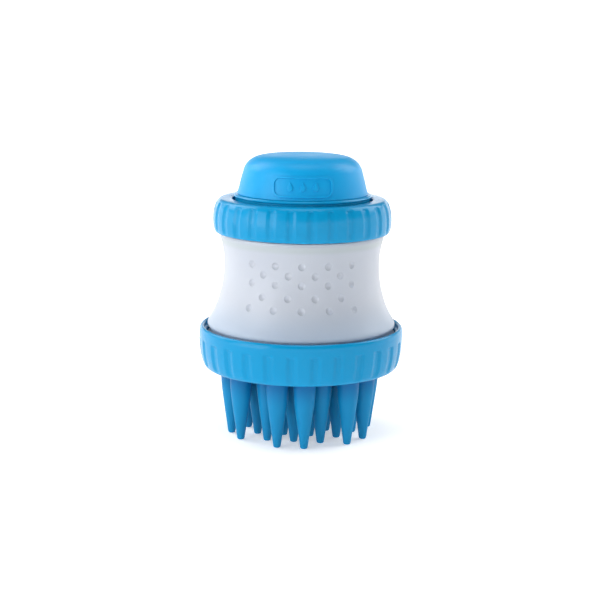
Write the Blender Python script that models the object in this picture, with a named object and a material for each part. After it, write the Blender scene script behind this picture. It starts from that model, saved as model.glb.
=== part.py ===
"""Palm-held bath scrubber that dispenses shampoo when its dome is pushed.

The origin is on the axis of the scrubber, in the plane of the bristle tips, with +Z up and the
front at -Y. Sizes below are millimetres; every mesh is built in metres through MM.
"""

import math

import bmesh
import bpy
from mathutils import Matrix

MM = 0.001
TAU = 2 * math.pi

# ---------------------------------------------------------------- driving dimensions
ROUND_SIDES = 40           # sides of the reservoir and the dome
INNER_SIDES = 32           # sides of the turned pieces inside
SMALL_SIDES = 16           # sides of the small turned pieces
FLUTES = 28                # finger grooves round each collar
SIDES_PER_FLUTE = 2        # the two walls of a groove
COLLAR_SIDES = FLUTES * SIDES_PER_FLUTE
FLUTE_DEPTH = 0.7

# brush head
BRISTLE_PITCH = 10.9       # distance between neighbouring bristles
BRISTLE_TURN = -7.5        # degrees that the bristle rows are turned from +X
BRISTLE_SIDES = 8
BRISTLE_OUTLINE = [        # radius, height above the tips
    (1.45, 0.0), (1.65, 0.9), (4.3, 20.5), (4.6, 29.4),
]
PAD_TOP = 32.5
PAD_FLANGE_BOTTOM = 30.5
PAD_BOTTOM = 28.8
PAD_RADIUS = 37.3
PAD_BOSS_RADIUS = 33.8
SPRAY_HOLE_RADIUS = 0.9

# lower collar
LOWER_BOTTOM = 28.0
LOWER_TOP = 45.0
LOWER_FOOT_RADIUS = 38.8
LOWER_MAX_RADIUS = 42.05
LOWER_BELLY_HEIGHT = 42.4  # where the collar is widest
LOWER_ROUNDNESS = 2.15     # exponent of the superellipse of its side
LOWER_FLUTE_TOP = 40.4
LOWER_FLUTE_TURN = -4.5    # degrees that the grooves are turned from the front
LOWER_OPENING = 34.2
LOWER_LIP_TOP = 30.2
LOWER_CAVITY_RADIUS = 37.8
LOWER_THREAD_ROOT = 39.2
LOWER_THREAD_CREST = 37.9

# dispensing plate and valve
PLATE_TOP = 35.5
PLATE_BOTTOM = 33.9
PLATE_RIM_BOTTOM = 32.8
PLATE_RADIUS = 37.4
PLENUM_RADIUS = 33.0
TOWER_RADIUS = 9.6
TOWER_BORE = 8.0
SEAT_BOTTOM = 46.0
SEAT_TOP = 47.5
SEAT_HOLE = 4.0
POPPET_HEAD_RADIUS = 6.2
POPPET_STEM_RADIUS = 2.2

# reservoir
NECK_BOTTOM = 37.3         # lower rim
NECK_LOW_CORE = 37.4
NECK_LOW_CREST = 38.8
NECK_LOW_BORE = 35.5
SKIRT_LOW = 45.2           # the waisted wall ends here, at the height of the collar's rim
NECK_TOP = 92.4            # upper rim
NECK_UP_CORE = 32.0
NECK_UP_CREST = 33.2
NECK_UP_BORE = 30.2
WAIST_OUTSIDE = [          # radius, height of the waisted wall, bottom to top
    (38.6, 45.6), (38.4, 46.9), (36.9, 49.4), (35.2, 52.9), (33.9, 56.6), (32.75, 61.0),
    (32.0, 66.0), (31.8, 71.0), (32.0, 75.2), (32.65, 78.8), (33.5, 82.0),
]
WAIST_INSIDE = [           # the same wall from within, top to bottom
    (30.2, 82.0), (30.2, 76.5), (30.0, 71.0), (30.3, 65.0), (31.2, 60.0),
    (32.5, 55.6), (34.0, 51.4), (35.5, 47.4),
]

# threads, the same on both necks: right-hand, two starts
THREAD_LEAD = 6.0
THREAD_STARTS = 2
THREAD_FOOT = 1.2          # height of a ridge at its foot
THREAD_TIP = 0.6           # height of a ridge at its crest
THREAD_BURY = 0.35         # how deep a ridge's foot stands in its wall
THREAD_STEPS_PER_TURN = 24
UPPER_THREAD_START = 85.3
LOWER_THREAD_START = 38.4
LOWER_NECK_TURNS = 0.85    # length of each ridge, in turns
UPPER_NECK_TURNS = 1.0
LOWER_COLLAR_TURNS = 0.55
UPPER_COLLAR_TURNS = 0.85
LOWER_COLLAR_FIRST = 0.35  # where the first ridge starts round the axis, in turns
UPPER_COLLAR_FIRST = 0.2

# upper collar
UPPER_BOTTOM = 83.9
UPPER_TOP = 97.5
UPPER_FOOT_RADIUS = 35.25
UPPER_MAX_RADIUS = 36.4
UPPER_SHOULDER_RADIUS = 33.1
UPPER_BELLY_HEIGHT = 89.0
UPPER_OPENING = 28.7
UPPER_CEILING = 95.6
UPPER_FLUTE_TURN = 5.8
UPPER_THREAD_ROOT = 33.6
UPPER_THREAD_CREST = 32.4

# lid
LID_FLANGE_TOP = 95.3
LID_FLANGE_BOTTOM = 94.0
LID_FLANGE_RADIUS = 32.2
LID_WALL_OUTSIDE = 29.9
LID_WALL_INSIDE = 28.7
LID_FLOOR_TOP = 87.6
LID_FLOOR_BOTTOM = 86.3
BOSS_RADIUS = 5.6
BOSS_BOTTOM = 80.7
BOSS_TOP = 90.2
BOSS_BORE = 2.9
VENT_PLACE = 18.0          # distance of the vent valve from the axis, at the back

# button
ROD_RADIUS = 2.5
ROD_BOTTOM = 50.3
ROD_TOP = 110.0
ROD_GROOVE_RADIUS = 1.9
LIP_RADIUS = 28.2
LIP_BOTTOM = 98.0
LIP_TOP = 99.4
SKIRT_OUTSIDE = 27.4
SKIRT_INSIDE = 26.2
SKIRT_BOTTOM = 92.0
FRAME_WALL_OUTSIDE = 22.9
FRAME_WALL_INSIDE = 21.5
FRAME_CEILING = 110.3
FRAME_TOP = 112.1
DOME_OUTSIDE = [           # radius, height of the palm dome, top to foot
    (0, 115.4), (7.0, 115.38), (12.3, 115.2), (16.0, 114.9), (18.9, 114.3), (21.1, 113.2),
    (22.8, 111.7), (23.9, 109.8), (24.5, 107.7), (25.3, 104.8), (26.6, LIP_TOP + 0.3),
]

# colours, linear
BLUE_SOFT = (0.0, 0.27, 0.60, 1.0)
BLUE_HARD = (0.0, 0.30, 0.66, 1.0)
FROSTED = (0.78, 0.82, 0.86, 1.0)
NATURAL = (0.83, 0.83, 0.80, 1.0)
CLEAR_RUBBER = (0.70, 0.72, 0.72, 1.0)
STEEL = (0.55, 0.55, 0.56, 1.0)


# ---------------------------------------------------------------- helpers
def finish(name, color, roughness, metallic=0.0):
    """A Principled material with the given colour."""
    material = bpy.data.materials.new(name)
    material.use_nodes = True
    shader = material.node_tree.nodes["Principled BSDF"]
    shader.inputs["Base Color"].default_value = color
    shader.inputs["Roughness"].default_value = roughness
    shader.inputs["Metallic"].default_value = metallic
    material.diffuse_color = color
    return material


def add_object(name, mesh_builder, material, smooth_angle=35):
    """Turn a bmesh into a named object, shaded smooth up to an angle."""
    mesh = bpy.data.meshes.new(name)
    mesh_builder.to_mesh(mesh)
    mesh_builder.free()
    mesh.shade_smooth()
    mesh.set_sharp_from_angle(angle=math.radians(smooth_angle))
    mesh.materials.append(material)
    new_object = bpy.data.objects.new(name, mesh)
    bpy.context.collection.objects.link(new_object)
    return new_object


def turned(outline, sides=INNER_SIDES):
    """Spin an outline of (radius, height) points round Z.

    An outline that starts and ends on the axis makes a closed solid by itself. Any other
    outline is a loop, and makes a ring.
    """
    solid = bmesh.new()
    points = [solid.verts.new((r * MM, 0.0, z * MM)) for r, z in outline]
    edges = [solid.edges.new(pair) for pair in zip(points, points[1:])]
    if outline[0][0] > 0 or outline[-1][0] > 0:
        edges.append(solid.edges.new((points[-1], points[0])))
    bmesh.ops.spin(
        solid, geom=points + edges, cent=(0, 0, 0), axis=(0, 0, 1),
        angle=TAU, steps=sides, use_merge=True,
    )
    bmesh.ops.remove_doubles(solid, verts=solid.verts, dist=1e-6)
    bmesh.ops.dissolve_degenerate(solid, edges=solid.edges, dist=1e-7)
    bmesh.ops.recalc_face_normals(solid, faces=solid.faces)
    return solid


def superellipse(start_radius, end_radius, start_height, end_height, exponent, angles):
    """Points of a quarter superellipse that leaves its start flat and ends upright."""
    points = []
    for angle in angles:
        out = math.sin(math.radians(angle)) ** (2 / exponent)
        up = 1 - math.cos(math.radians(angle)) ** (2 / exponent)
        points.append((
            start_radius + (end_radius - start_radius) * out,
            start_height + (end_height - start_height) * up,
        ))
    return points


def sweep_helix(section, radius, start_height, lead, turns, start_turn, steps_per_turn, fade=0):
    """Sweep a closed section of (outward, upward) points along a right-hand helix.

    fade is the number of steps over which the section grows from its foot at either end.
    """
    solid = bmesh.new()
    steps = max(2, round(turns * steps_per_turn))
    foot = min(section, key=lambda point: abs(point[0]))[0] if fade else 0.0
    loops = []
    for step in range(steps + 1):
        turn = start_turn + turns * step / steps
        grow = min(1.0, (min(step, steps - step) + 0.25) / fade) if fade else 1.0
        angle = TAU * turn
        loop = []
        for outward, upward in section:
            r = radius + foot + (outward - foot) * grow
            z = start_height + lead * turns * step / steps + upward
            loop.append(solid.verts.new(
                (r * math.cos(angle) * MM, r * math.sin(angle) * MM, z * MM)))
        loops.append(loop)
    count = len(section)
    for here, there in zip(loops, loops[1:]):
        for index in range(count):
            following = (index + 1) % count
            solid.faces.new((here[index], here[following], there[following], there[index]))
    solid.faces.new(loops[0])
    solid.faces.new(loops[-1])
    bmesh.ops.triangulate(solid, faces=solid.faces)
    bmesh.ops.recalc_face_normals(solid, faces=solid.faces)
    return solid


def thread_ridge(root, crest, start_height, turns, start_turn):
    """One start of a thread: a trapezoid that stands on the root and ends at the crest."""
    bury = THREAD_BURY if crest > root else -THREAD_BURY
    section = [
        (-bury, -THREAD_FOOT / 2), (-bury, THREAD_FOOT / 2),
        (crest - root, THREAD_TIP / 2), (crest - root, -THREAD_TIP / 2),
    ]
    return sweep_helix(section, root, start_height, THREAD_LEAD, turns, start_turn,
                       THREAD_STEPS_PER_TURN, fade=2)


def cut_or_join(target, tools, operation):
    """Boolean a list of helper solids into the target, and hide the helpers."""
    for tool in tools:
        tool.hide_render = True
        tool.display_type = "WIRE"
        boolean = target.modifiers.new(operation.lower(), "BOOLEAN")
        boolean.operation = operation
        boolean.solver = "EXACT"
        boolean.object = tool


def add_thread(target, root, crest, start_height, turns, start_turn):
    """Join both starts of a thread to a neck or a collar."""
    ridges = []
    for start in range(THREAD_STARTS):
        ridge = thread_ridge(root, crest, start_height, turns, start_turn + start / THREAD_STARTS)
        ridges.append(add_object(f"{target.name}_ridge_{start}", ridge, target.data.materials[0]))
    cut_or_join(target, ridges, "UNION")


def collar_ridges(collar, root, crest, neck_start, turns, first):
    """Give a collar its two ridges, half-way between those of the neck that it screws on."""
    gap = THREAD_LEAD / THREAD_STARTS
    add_thread(collar, root, crest, neck_start - gap / 2 + THREAD_LEAD * first, turns, first)


def cut_flutes(solid, wall_radius, low, high, turn):
    """Sink every second upright row of a collar's outer wall between two heights.

    Only what lies outside wall_radius is sunk. turn brings the grooves to their place.
    """
    for vertex in solid.verts:
        radius = math.hypot(vertex.co.x, vertex.co.y)
        row = round(math.atan2(vertex.co.y, vertex.co.x) / TAU * COLLAR_SIDES)
        on_wall = radius > wall_radius * MM and low * MM < vertex.co.z < high * MM
        if on_wall and row % SIDES_PER_FLUTE == 0:
            shrink = 1 - FLUTE_DEPTH * MM / radius
            vertex.co.x *= shrink
            vertex.co.y *= shrink
    bmesh.ops.rotate(solid, verts=solid.verts, cent=(0, 0, 0),
                     matrix=Matrix.Rotation(math.radians(turn), 3, "Z"))


def merge(builders):
    """Put several closed shells into one bmesh."""
    whole = bmesh.new()
    for builder in builders:
        part = bpy.data.meshes.new("shell")
        builder.to_mesh(part)
        builder.free()
        whole.from_mesh(part)
        bpy.data.meshes.remove(part)
    return whole


def moved(solid, x, y):
    """Move a bmesh sideways."""
    bmesh.ops.translate(solid, verts=solid.verts, vec=(x * MM, y * MM, 0))
    return solid


def hole_cutter(name, places, radius, low, high, sides=12):
    """Upright drills at the given places, as one cutter."""
    drills = []
    for x, y in places:
        drill = turned([(0, low), (radius, low), (radius, high), (0, high)], sides)
        drills.append(moved(drill, x, y))
    return add_object(name, merge(drills), MATERIALS["natural"])


def ring_places(count, distance, first_angle=0.0):
    """Evenly spaced places on a circle."""
    return [
        (distance * math.cos(TAU * index / count + math.radians(first_angle)),
         distance * math.sin(TAU * index / count + math.radians(first_angle)))
        for index in range(count)
    ]


# ---------------------------------------------------------------- brush head
def bristle_places():
    """Hexagonal lattice round a central bristle, out to the fourth ring of neighbours."""
    places = []
    reach = math.sqrt(7) * BRISTLE_PITCH + 0.1
    turn = math.radians(BRISTLE_TURN)
    for row in range(-3, 4):
        for column in range(-4, 5):
            x = BRISTLE_PITCH * (column + row / 2)
            y = BRISTLE_PITCH * row * math.sqrt(3) / 2
            if math.hypot(x, y) <= reach:
                places.append((
                    x * math.cos(turn) - y * math.sin(turn),
                    x * math.sin(turn) + y * math.cos(turn),
                ))
    return places


def spray_places():
    """Middles of the lattice triangles nearest the axis."""
    inner = ring_places(6, BRISTLE_PITCH / math.sqrt(3), BRISTLE_TURN + 30)
    outer = ring_places(6, 2 * BRISTLE_PITCH / math.sqrt(3), BRISTLE_TURN + 30)
    return inner + outer


def make_brush_pad():
    pad = add_object("brush_pad", turned([
        (0, PAD_BOTTOM), (PAD_BOSS_RADIUS, PAD_BOTTOM), (PAD_BOSS_RADIUS, PAD_FLANGE_BOTTOM),
        (PAD_RADIUS, PAD_FLANGE_BOTTOM), (PAD_RADIUS, PAD_TOP), (0, PAD_TOP),
    ]), MATERIALS["soft_blue"])
    top = BRISTLE_OUTLINE[-1][1]
    outline = [(0, 0)] + BRISTLE_OUTLINE + [(0, top)]
    bristles = [moved(turned(outline, BRISTLE_SIDES), x, y) for x, y in bristle_places()]
    field = add_object("bristle_field", merge(bristles), MATERIALS["soft_blue"])
    holes = hole_cutter("spray_drills", spray_places(), SPRAY_HOLE_RADIUS,
                        PAD_BOTTOM - 1, PAD_TOP + 1, sides=8)
    cut_or_join(pad, [field], "UNION")
    cut_or_join(pad, [holes], "DIFFERENCE")


def make_lower_collar():
    side = superellipse(LOWER_FOOT_RADIUS, LOWER_MAX_RADIUS, LOWER_BOTTOM, LOWER_BELLY_HEIGHT,
                        LOWER_ROUNDNESS, (0, 12, 38, 66, 83, 90))
    outline = [(LOWER_OPENING, LOWER_BOTTOM)] + side + [
        (41.7, 44.2), (41.0, LOWER_TOP), (40.1, 44.6), (39.9, 43.2),
        (LOWER_THREAD_ROOT, 42.8), (LOWER_THREAD_ROOT, 37.9),
        (LOWER_CAVITY_RADIUS, 37.0), (LOWER_CAVITY_RADIUS, LOWER_LIP_TOP),
        (LOWER_OPENING, LOWER_LIP_TOP),
    ]

    solid = turned(outline, COLLAR_SIDES)
    cut_flutes(solid, LOWER_THREAD_ROOT + 0.1, LOWER_BOTTOM + 0.1, LOWER_FLUTE_TOP,
               LOWER_FLUTE_TURN)
    collar = add_object("lower_collar", solid, MATERIALS["hard_blue"])
    collar_ridges(collar, LOWER_THREAD_ROOT, LOWER_THREAD_CREST, LOWER_THREAD_START,
                  LOWER_COLLAR_TURNS, LOWER_COLLAR_FIRST)


def make_lower_gasket():
    add_object("lower_gasket", turned([
        (34.6, 35.8), (37.2, 35.8), (37.2, 37.0), (34.6, 37.0),
    ]), MATERIALS["clear_rubber"])


def make_dispensing_plate():
    add_object("dispensing_plate", turned([
        (TOWER_BORE, PLATE_BOTTOM), (PLENUM_RADIUS, PLATE_BOTTOM),
        (PLENUM_RADIUS, PLATE_RIM_BOTTOM), (PLATE_RADIUS, PLATE_RIM_BOTTOM),
        (PLATE_RADIUS, PLATE_TOP), (TOWER_RADIUS + 0.8, PLATE_TOP),
        (TOWER_RADIUS, PLATE_TOP + 0.8), (TOWER_RADIUS, SEAT_TOP - 0.5),
        (TOWER_RADIUS - 0.5, SEAT_TOP), (SEAT_HOLE, SEAT_TOP), (SEAT_HOLE, SEAT_BOTTOM),
        (TOWER_BORE, SEAT_BOTTOM),
    ]), MATERIALS["hard_blue"])


def make_valve():
    add_object("valve_poppet", turned([
        (0, 38.6), (1.3, 38.6), (1.5, 38.9), (1.5, 42.8), (POPPET_HEAD_RADIUS, 42.8),
        (POPPET_HEAD_RADIUS, 44.6), (POPPET_STEM_RADIUS, 44.6), (POPPET_STEM_RADIUS, 49.6),
        (1.8, ROD_BOTTOM - 0.3), (0, ROD_BOTTOM - 0.3),
    ], SMALL_SIDES), MATERIALS["natural"])
    add_object("valve_seal", turned([
        (2.5, 44.9), (6.0, 44.9), (6.0, 45.4), (5.7, 45.7), (2.5, 45.7),
    ], SMALL_SIDES), MATERIALS["clear_rubber"])
    cage = add_object("valve_cage", turned([
        (1.6, 32.9), (7.7, 32.9), (7.7, 34.1), (1.6, 34.1),
    ], SMALL_SIDES), MATERIALS["natural"])
    cut_or_join(cage, [hole_cutter("cage_drills", ring_places(6, 4.9), 1.3, 32, 35, sides=8)],
                "DIFFERENCE")


def make_spring(name, coil_radius, wire_radius, low, high, turns, steps_per_turn):
    """A compression spring between two heights."""
    section = [
        (wire_radius * math.cos(TAU * k / 6), wire_radius * math.sin(TAU * k / 6))
        for k in range(6)
    ]
    rise = high - low - 2 * wire_radius
    spring = sweep_helix(section, coil_radius, low + wire_radius, rise / turns, turns, 0.0,
                         steps_per_turn)
    add_object(name, spring, MATERIALS["steel"], smooth_angle=70)


# ---------------------------------------------------------------- reservoir
def make_reservoir():
    outline = [
        (NECK_LOW_BORE, NECK_BOTTOM), (NECK_LOW_CORE, NECK_BOTTOM),
        (NECK_LOW_CORE, SKIRT_LOW), (38.2, SKIRT_LOW),
    ] + WAIST_OUTSIDE + [
        (33.5, 82.9), (32.9, 83.5), (NECK_UP_CORE, 83.6), (NECK_UP_CORE, NECK_TOP),
        (NECK_UP_BORE, NECK_TOP),
    ] + WAIST_INSIDE
    reservoir = add_object("reservoir", turned(outline, ROUND_SIDES), MATERIALS["frosted"])
    add_thread(reservoir, NECK_LOW_CORE, NECK_LOW_CREST, LOWER_THREAD_START,
               LOWER_NECK_TURNS, 0.0)
    add_thread(reservoir, NECK_UP_CORE, NECK_UP_CREST, UPPER_THREAD_START,
               UPPER_NECK_TURNS, 0.0)


# ---------------------------------------------------------------- lid and upper collar
def make_upper_collar():
    foot = superellipse(UPPER_FOOT_RADIUS, UPPER_MAX_RADIUS, UPPER_BOTTOM, UPPER_BELLY_HEIGHT,
                        2, (0, 28, 90))
    shoulder = superellipse(UPPER_SHOULDER_RADIUS, UPPER_MAX_RADIUS, UPPER_TOP,
                            UPPER_BELLY_HEIGHT, 2, (60, 32, 8))
    outline = foot + shoulder + [
        (UPPER_OPENING + 0.3, UPPER_TOP), (UPPER_OPENING, UPPER_TOP - 0.3),
        (UPPER_OPENING, UPPER_CEILING), (UPPER_THREAD_ROOT, UPPER_CEILING),
        (UPPER_THREAD_ROOT, UPPER_BOTTOM + 0.6), (UPPER_THREAD_ROOT + 0.5, UPPER_BOTTOM),
    ]

    solid = turned(outline, COLLAR_SIDES)
    cut_flutes(solid, UPPER_THREAD_ROOT + 0.6, UPPER_BOTTOM + 0.1, UPPER_TOP, UPPER_FLUTE_TURN)
    collar = add_object("upper_collar", solid, MATERIALS["hard_blue"])
    collar_ridges(collar, UPPER_THREAD_ROOT, UPPER_THREAD_CREST, UPPER_THREAD_START,
                  UPPER_COLLAR_TURNS, UPPER_COLLAR_FIRST)


def make_lid():
    lid = add_object("lid_cup", turned([
        (BOSS_BORE, BOSS_BOTTOM), (BOSS_RADIUS, BOSS_BOTTOM), (BOSS_RADIUS, LID_FLOOR_BOTTOM),
        (LID_WALL_OUTSIDE - 0.6, LID_FLOOR_BOTTOM), (LID_WALL_OUTSIDE, LID_FLOOR_BOTTOM + 0.6),
        (LID_WALL_OUTSIDE, LID_FLANGE_BOTTOM), (LID_FLANGE_RADIUS, LID_FLANGE_BOTTOM),
        (LID_FLANGE_RADIUS, LID_FLANGE_TOP), (LID_WALL_INSIDE, LID_FLANGE_TOP),
        (LID_WALL_INSIDE, LID_FLOOR_TOP), (BOSS_RADIUS, LID_FLOOR_TOP), (BOSS_RADIUS, BOSS_TOP),
        (4.4, BOSS_TOP), (4.4, 88.0), (BOSS_BORE, 88.0),
    ]), MATERIALS["natural"])
    vent = [(0, VENT_PLACE)] + [
        (x, y + VENT_PLACE) for x, y in ring_places(3, 2.9)
    ]
    stem_drill = hole_cutter("vent_drill", vent[:1], 1.5, 85, 89)
    air_drills = hole_cutter("air_drills", vent[1:], 0.5, 85, 89, sides=6)
    cut_or_join(lid, [stem_drill, air_drills], "DIFFERENCE")

    add_object("lid_gasket", turned([
        (30.3, 92.7), (32.2, 92.7), (32.2, 93.7), (30.3, 93.7),
    ]), MATERIALS["clear_rubber"])
    add_object("stem_seal", turned([
        (3.45 + 0.65 * math.cos(TAU * k / 8), 89.0 + 0.65 * math.sin(TAU * k / 8))
        for k in range(8)
    ], SMALL_SIDES), MATERIALS["clear_rubber"])
    add_object("seal_retainer", turned([
        (BOSS_BORE, 90.5), (5.9, 90.5), (5.9, 88.6), (6.8, 88.6), (6.8, 91.4), (6.5, 91.7),
        (BOSS_BORE, 91.7),
    ], SMALL_SIDES), MATERIALS["natural"])
    valve = turned([
        (0, 84.9), (3.0, 85.1), (4.0, 85.7), (3.9, 86.0), (1.2, 86.0), (1.2, 87.9), (1.9, 87.9),
        (1.5, 88.7), (0.8, 89.1), (0, 89.1),
    ], 16)
    add_object("vent_valve", moved(valve, 0, VENT_PLACE), MATERIALS["clear_rubber"])


# ---------------------------------------------------------------- button
def make_button_frame():
    add_object("button_frame", turned([
        (0, FRAME_TOP), (18.3, 111.7), (20.8, 110.55), (22.3, 108.9), (FRAME_WALL_OUTSIDE, 106.9),
        (FRAME_WALL_OUTSIDE, LIP_TOP), (LIP_RADIUS - 0.4, LIP_TOP), (LIP_RADIUS, LIP_TOP - 0.4),
        (LIP_RADIUS, LIP_BOTTOM + 0.4), (LIP_RADIUS - 0.4, LIP_BOTTOM),
        (SKIRT_OUTSIDE, LIP_BOTTOM), (SKIRT_OUTSIDE, SKIRT_BOTTOM), (SKIRT_INSIDE, SKIRT_BOTTOM),
        (SKIRT_INSIDE, LIP_BOTTOM), (FRAME_WALL_INSIDE, LIP_BOTTOM),
        (FRAME_WALL_INSIDE, 107.3), (19.5, 109.6), (18.0, FRAME_CEILING),
        (4.6, FRAME_CEILING), (4.6, 103.0), (2.8, 103.0), (2.8, FRAME_CEILING),
        (0, FRAME_CEILING),
    ]), MATERIALS["hard_blue"])


def make_palm_dome():
    add_object("palm_dome", turned(DOME_OUTSIDE + [
        (23.2, LIP_TOP + 0.3), (23.2, 107.0), (22.6, 109.0), (21.0, 110.9), (18.5, 112.0),
        (0, 112.4),
    ], ROUND_SIDES), MATERIALS["soft_blue"])


def make_push_rod():
    add_object("push_rod", turned([
        (0, ROD_BOTTOM), (2.1, ROD_BOTTOM), (ROD_RADIUS, ROD_BOTTOM + 0.4), (ROD_RADIUS, 79.3),
        (ROD_GROOVE_RADIUS, 79.3), (ROD_GROOVE_RADIUS, 80.5), (ROD_RADIUS, 80.5),
        (ROD_RADIUS, ROD_TOP - 0.4), (2.1, ROD_TOP), (0, ROD_TOP),
    ], SMALL_SIDES), MATERIALS["natural"])


def make_rod_clip():
    section = [(2.2, -0.3), (4.1, -0.3), (4.1, 0.3), (2.2, 0.3)]
    clip = sweep_helix(section, 0.0, 79.9, 0.0, 0.82, 0.34, 20)
    add_object("rod_clip", clip, MATERIALS["steel"])


# ---------------------------------------------------------------- build
for old in list(bpy.data.objects):
    bpy.data.objects.remove(old, do_unlink=True)

MATERIALS = {
    "soft_blue": finish("soft_blue", BLUE_SOFT, 0.45),
    "hard_blue": finish("hard_blue", BLUE_HARD, 0.2),
    "frosted": finish("frosted", FROSTED, 0.45),
    "natural": finish("natural", NATURAL, 0.4),
    "clear_rubber": finish("clear_rubber", CLEAR_RUBBER, 0.5),
    "steel": finish("steel", STEEL, 0.25, metallic=1.0),
}

make_brush_pad()
make_lower_collar()
make_lower_gasket()
make_dispensing_plate()
make_valve()
make_spring("valve_spring", 4.6, 0.45, 34.4, 42.5, 4.0, 12)
make_reservoir()
make_upper_collar()
make_lid()
make_spring("return_spring", 9.5, 0.7, LID_FLOOR_TOP + 0.3, FRAME_CEILING - 0.3, 5.5, 14)
make_button_frame()
make_palm_dome()
make_push_rod()
make_rod_clip()
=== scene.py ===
# %% [markdown]
# # A palm-held bath scrubber, piece by piece
#
# The scrubber is a small bottle that stands on its brush. A soft dome on top is pushed with the
# palm, a frosted waisted reservoir holds the shampoo, two fluted collars screw the ends shut,
# and a field of thick silicone bristles washes the coat. The working model already holds the
# springs, the valve and the seals at their true size, so this lesson builds the skins that the
# eye meets, and gives every piece its finish.

# %% Load the working model
import math

import bmesh
import bpy
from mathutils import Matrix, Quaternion, Vector


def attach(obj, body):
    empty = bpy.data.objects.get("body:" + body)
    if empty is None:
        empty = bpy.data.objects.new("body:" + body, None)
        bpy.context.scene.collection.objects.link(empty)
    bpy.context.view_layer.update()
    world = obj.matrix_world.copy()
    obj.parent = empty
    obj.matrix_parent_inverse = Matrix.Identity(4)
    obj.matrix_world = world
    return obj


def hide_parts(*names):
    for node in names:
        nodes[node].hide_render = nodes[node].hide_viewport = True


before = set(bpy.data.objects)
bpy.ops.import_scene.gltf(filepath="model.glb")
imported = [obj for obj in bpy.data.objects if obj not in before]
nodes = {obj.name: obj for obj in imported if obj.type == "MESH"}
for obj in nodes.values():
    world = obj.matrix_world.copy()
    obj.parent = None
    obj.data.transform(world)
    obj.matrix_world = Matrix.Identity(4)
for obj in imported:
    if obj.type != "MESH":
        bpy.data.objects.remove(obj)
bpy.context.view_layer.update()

# %% [markdown]
# ## The camera and the unit
#
# Such a part is drawn in millimetres, so lengths here are millimetres too, and MM turns them
# into Blender's metres. The camera comes first, so that each piece can be judged as soon as it
# is made. A long lens from about 60 cm keeps the ellipses of the collars flat, and it looks
# down by eleven degrees, which shows the shoulder of the upper collar and the gap at the dome.

# %% Set the camera
MM = 0.001
AIM = Vector((-0.55, 0.0, 55.1)) * MM
CAMERA_DISTANCE = 635.1 * MM
CAMERA_RISE = math.radians(10.82)
CAMERA_ROLL = math.radians(0.7)
CAMERA_LENS = 92.3

camera_data = bpy.data.cameras.new("camera")
camera_data.lens = CAMERA_LENS
camera_data.sensor_width = 36
camera = bpy.data.objects.new("camera", camera_data)
bpy.context.scene.collection.objects.link(camera)
way_back = Vector((0, -math.cos(CAMERA_RISE), math.sin(CAMERA_RISE)))
camera.location = AIM + CAMERA_DISTANCE * way_back
camera.rotation_mode = "QUATERNION"
camera.rotation_quaternion = (
    (-way_back).to_track_quat("-Z", "Y") @ Quaternion((0, 0, 1), CAMERA_ROLL)
)
bpy.context.scene.camera = camera
print("camera at", [round(value, 4) for value in camera.location])

# %% [markdown]
# ## A shell made ring by ring
#
# Nearly every skin of this object is round. Spinning an outline would make each of them in one
# go, but a shell that is walked ring by ring can be stopped, widened and grooved anywhere, and
# the number of its upright columns is known, which the finger grooves of the collars need. So
# a circle is added at the outline's first point, and then extruded and scaled from point to
# point. An outline that starts or ends on the axis is closed there, and any other is a loop
# that closes on itself.

# %% Walk a circle along an outline
MERGE = 0.002 * MM


def deselect_all():
    bpy.ops.object.select_all(action="DESELECT")


def activate(piece):
    """Make a piece the only selected one, and the active one."""
    deselect_all()
    piece.select_set(True)
    bpy.context.view_layer.objects.active = piece


def extrude_ring(rise, scale, height):
    bpy.ops.mesh.extrude_region_move(TRANSFORM_OT_translate={"value": (0, 0, rise * MM)})
    bpy.ops.transform.resize(value=(scale, scale, 1), center_override=(0, 0, height * MM))


def close_on_axis(rise):
    """Extrude the selected ring to the axis and pull it into one point."""
    bpy.ops.mesh.extrude_region_move(TRANSFORM_OT_translate={"value": (0, 0, rise * MM)})
    bpy.ops.mesh.merge(type="CENTER")


def walk_rings(name, outline, sides):
    """Make a closed round shell from an outline of (radius, height) points."""
    starts_on_axis, ends_on_axis = outline[0][0] == 0, outline[-1][0] == 0
    rings = outline[1 if starts_on_axis else 0:len(outline) - (1 if ends_on_axis else 0)]
    radius, height = rings[0]
    deselect_all()
    bpy.ops.mesh.primitive_circle_add(vertices=sides, radius=radius * MM,
                                      location=(0, 0, height * MM))
    piece = bpy.context.active_object
    piece.name = piece.data.name = name
    bpy.ops.object.transform_apply(location=True, rotation=False, scale=False)
    bpy.ops.object.mode_set(mode="EDIT")
    bpy.ops.mesh.select_mode(type="VERT")
    bpy.ops.mesh.select_all(action="SELECT")
    for next_radius, next_height in rings[1:]:
        extrude_ring(next_height - height, next_radius / radius, next_height)
        radius, height = next_radius, next_height
    if ends_on_axis:
        close_on_axis(outline[-1][1] - height)
    if starts_on_axis:
        bpy.ops.mesh.select_all(action="DESELECT")
        bpy.ops.mesh.select_non_manifold()
        close_on_axis(outline[0][1] - rings[0][1])
    bpy.ops.mesh.select_all(action="SELECT")
    bpy.ops.mesh.remove_doubles(threshold=MERGE)
    bpy.ops.mesh.normals_make_consistent(inside=False)
    bpy.ops.object.mode_set(mode="OBJECT")
    return piece


def smooth_faces(piece, degrees):
    """Shade a piece smooth, and keep edges that are sharper than the angle."""
    activate(piece)
    bpy.ops.object.shade_smooth_by_angle(angle=math.radians(degrees))
    print(piece.name, "has", len(piece.data.polygons), "faces")
    return piece


# %% [markdown]
# ## Cutting and joining
#
# Dimples, threads and spray holes are cut or grown with a Boolean. The tool is a solid of its
# own, made with the same ring walk or from a primitive, and it is removed once the modifier
# has been applied, so that only the finished piece stays in the scene.

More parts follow.
